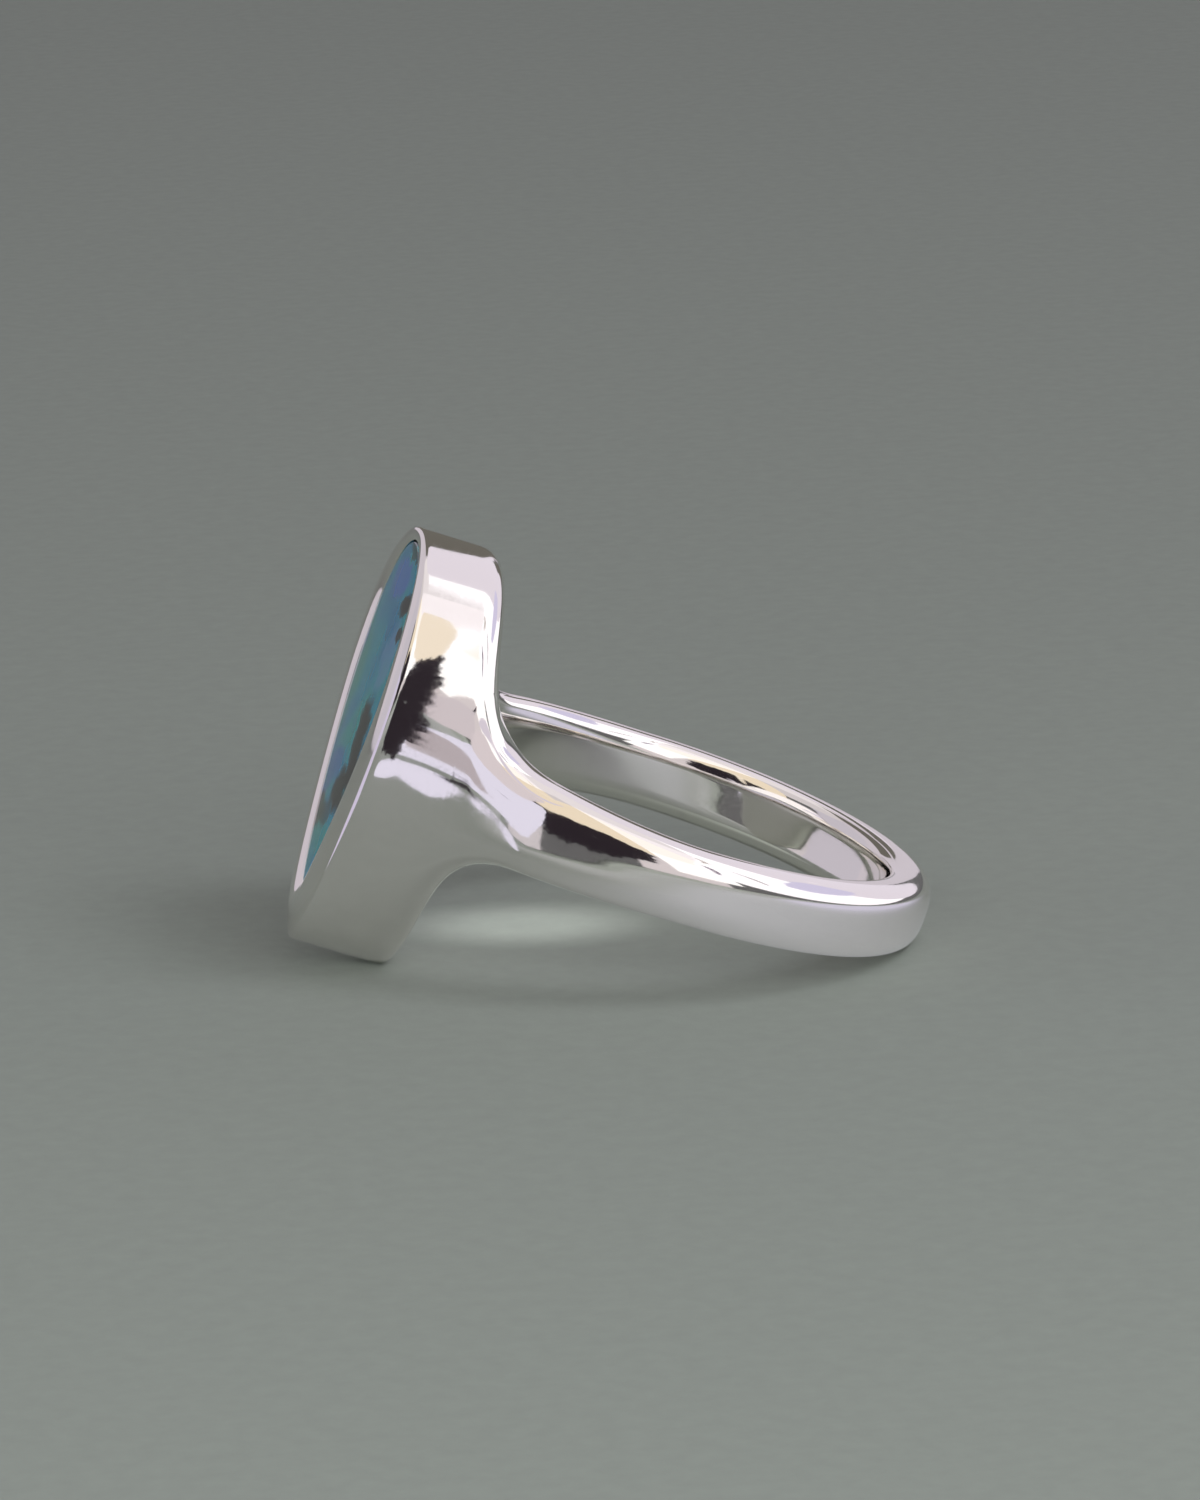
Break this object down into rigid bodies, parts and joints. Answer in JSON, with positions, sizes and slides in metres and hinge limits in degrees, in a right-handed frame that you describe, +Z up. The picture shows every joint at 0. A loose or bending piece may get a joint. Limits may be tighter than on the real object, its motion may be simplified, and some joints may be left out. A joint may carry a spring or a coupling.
{
  "type": "opal ring",
  "caption": "Heavy silver ring lying on its side, with an egg-shaped opal set flush in a long, thick, tapering head and a rounded shank that narrows to the back.",
  "frame": {"origin": "centre of the ring's outer box, on the surface it lies on", "axes": "+Z up from the surface the ring lies on, +X from the stone's face towards the back of the band, Y across the finger hole"},
  "size_m": [0.0252, 0.0212, 0.017],
  "materials": {
    "polished_silver": "polished",
    "opal_stone": "gloss"
  },
  "bodies": {
    "root": {"silver_ring": "polished_silver", "opal": "opal_stone"}
  },
  "joints": []
}
